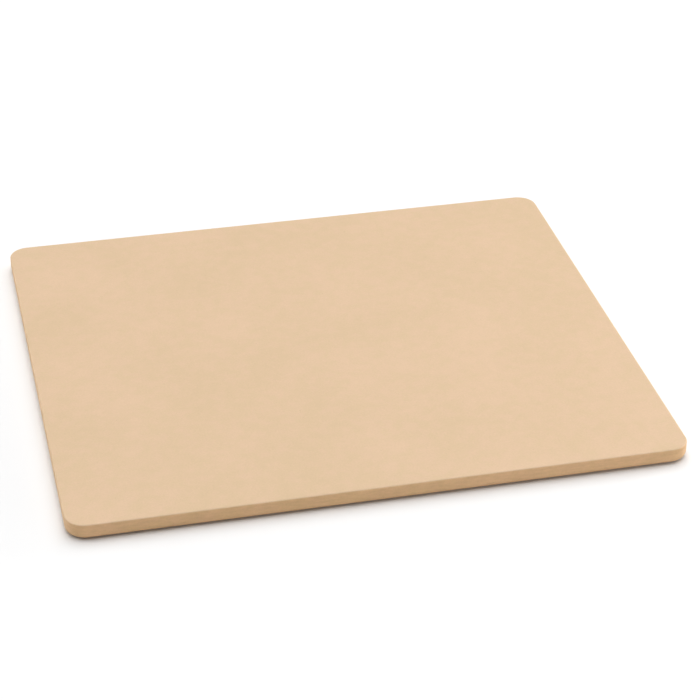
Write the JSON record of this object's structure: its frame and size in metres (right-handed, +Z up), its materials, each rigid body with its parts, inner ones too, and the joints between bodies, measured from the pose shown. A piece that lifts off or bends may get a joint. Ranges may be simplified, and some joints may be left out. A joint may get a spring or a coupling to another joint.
{
  "type": "pizza stone",
  "caption": "Flat rectangular pizza stone: a plain unglazed ceramic slab with rounded corners and softly rolled edges, for baking on in an oven or grill.",
  "frame": {"origin": "middle of the underside, on the surface that the stone rests on", "axes": "+Z up out of the baking face, +X along the long side, +Y along the short side, away from the front edge that the picture shows nearest"},
  "size_m": [0.406, 0.356, 0.011],
  "materials": {
    "cordierite": "matte"
  },
  "bodies": {
    "root": {"stone_slab": "cordierite"}
  },
  "joints": []
}
